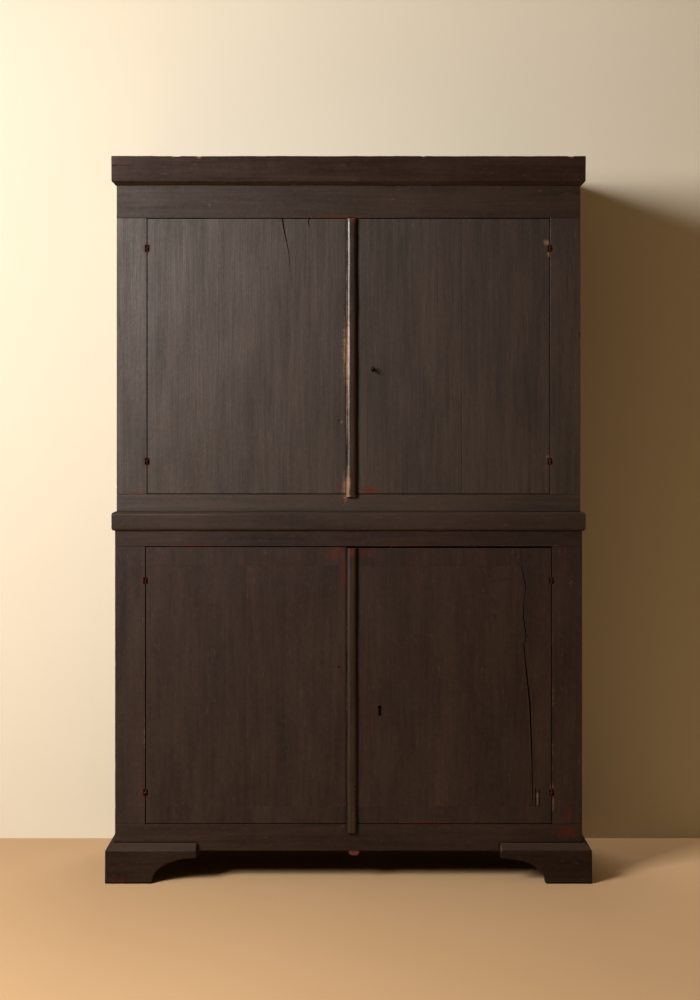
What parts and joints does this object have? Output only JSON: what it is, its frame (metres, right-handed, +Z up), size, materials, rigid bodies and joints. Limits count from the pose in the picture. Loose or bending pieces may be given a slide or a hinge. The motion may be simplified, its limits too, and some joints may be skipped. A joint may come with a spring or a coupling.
{
  "type": "credenza",
  "caption": "Tall two-stage painted wooden cupboard with paired flush doors on loop hinges, closing strips, locks, waist moulding, plain cornice and bracket feet.",
  "frame": {"origin": "on the floor, in the middle of the outline of the whole cupboard", "axes": "+X to the viewer's right, the front faces -Y, +Z up"},
  "size_m": [1.338, 0.504, 2],
  "materials": {
    "painted_wood": "old brown-black paint, satin, worn to a red ground at edges",
    "bare_wood": "unpainted old softwood, dull",
    "red_wood": "red-brown paint, dull",
    "iron": "wrought iron, dark, slightly rusty"
  },
  "bodies": {
    "case": {"bottom_peg": "red_wood", "cornice_front": "painted_wood", "cornice_left": "painted_wood", "cornice_right": "painted_wood", "dust_board": "bare_wood", "foot_corner_blocks": "bare_wood", "frame_hinge_eyes": "iron", "frieze_rail": "painted_wood", "front_bracket_left": "painted_wood", "front_bracket_right": "painted_wood", "lower_back_boards": "bare_wood", "lower_bottom_board": "bare_wood", "lower_bottom_rail": "painted_wood", "lower_shelf": "bare_wood", "lower_side_left": "painted_wood", "lower_side_right": "painted_wood", "lower_stile_left": "painted_wood", "lower_stile_right": "painted_wood", "lower_top_rail": "painted_wood", "shelf_cleats": "bare_wood", "side_bracket_front_left": "painted_wood", "side_bracket_front_right": "painted_wood", "side_bracket_rear_left": "painted_wood", "side_bracket_rear_right": "painted_wood", "upper_back_boards": "bare_wood", "upper_bottom_board": "bare_wood", "upper_bottom_rail": "painted_wood", "upper_shelf_high": "bare_wood", "upper_shelf_low": "bare_wood", "upper_side_left": "painted_wood", "upper_side_right": "painted_wood", "upper_stile_left": "painted_wood", "upper_stile_right": "painted_wood", "upper_top_board": "bare_wood", "waist_moulding_front": "painted_wood", "waist_moulding_left": "painted_wood", "waist_moulding_right": "painted_wood"},
    "upper_left_door": {"upper_left_door_boards": "painted_wood", "upper_left_door_ledges": "bare_wood", "upper_left_door_staples": "iron", "upper_bolt_guide": "iron"},
    "upper_right_door": {"upper_right_door_boards": "painted_wood", "upper_right_door_ledges": "bare_wood", "upper_right_door_staples": "iron", "upper_closing_strip": "painted_wood", "upper_lock_case": "iron"},
    "lower_left_door": {"lower_left_door_boards": "painted_wood", "lower_left_door_clamps": "painted_wood", "lower_left_door_staples": "iron", "lower_bolt_guide": "iron"},
    "lower_right_door": {"lower_right_door_boards": "painted_wood", "lower_right_door_clamps": "painted_wood", "lower_right_door_staples": "iron", "lower_closing_strip": "painted_wood", "lower_lock_case": "iron"},
    "upper_key": {"upper_key": "iron"},
    "upper_lock_bolt": {"upper_lock_bolt": "iron"},
    "lower_lock_bolt": {"lower_lock_bolt": "iron"},
    "upper_slide_bolt": {"upper_slide_bolt": "iron"},
    "lower_slide_bolt": {"lower_slide_bolt": "iron"}
  },
  "joints": [
    {"name": "upper_left_door_hinge", "type": "hinge", "parent": "case", "child": "upper_left_door", "pos_m": [-0.5558, -0.2245, 1.45], "axis": [0, 0, -1], "range_deg": [0, 165]},
    {"name": "upper_right_door_hinge", "type": "hinge", "parent": "case", "child": "upper_right_door", "pos_m": [0.5558, -0.2245, 1.45], "axis": [0, 0, 1], "range_deg": [0, 165]},
    {"name": "lower_left_door_hinge", "type": "hinge", "parent": "case", "child": "lower_left_door", "pos_m": [-0.5598, -0.2285, 0.542], "axis": [0, 0, -1], "range_deg": [0, 165]},
    {"name": "lower_right_door_hinge", "type": "hinge", "parent": "case", "child": "lower_right_door", "pos_m": [0.5598, -0.2285, 0.542], "axis": [0, 0, 1], "range_deg": [0, 165]},
    {"name": "upper_key_turn", "type": "hinge", "parent": "upper_right_door", "child": "upper_key", "pos_m": [0.067, -0.236, 1.413], "axis": [0, -1, 0], "range_deg": [0, 180]},
    {"name": "upper_lock_bolt_slide", "type": "slide", "parent": "upper_right_door", "child": "upper_lock_bolt", "axis": [-1, 0, 0], "range_m": [0, 0.014]},
    {"name": "upper_slide_bolt_lift", "type": "slide", "parent": "upper_left_door", "child": "upper_slide_bolt", "axis": [0, 0, 1], "range_m": [0, 0.016]},
    {"name": "lower_lock_bolt_slide", "type": "slide", "parent": "lower_right_door", "child": "lower_lock_bolt", "axis": [-1, 0, 0], "range_m": [0, 0.014]},
    {"name": "lower_slide_bolt_lift", "type": "slide", "parent": "lower_left_door", "child": "lower_slide_bolt", "axis": [0, 0, 1], "range_m": [0, 0.016]}
  ],
  "couplings": [
    {"joint": "upper_key_turn", "follows": "upper_lock_bolt_slide", "rad_per_m": 224.39}
  ]
}
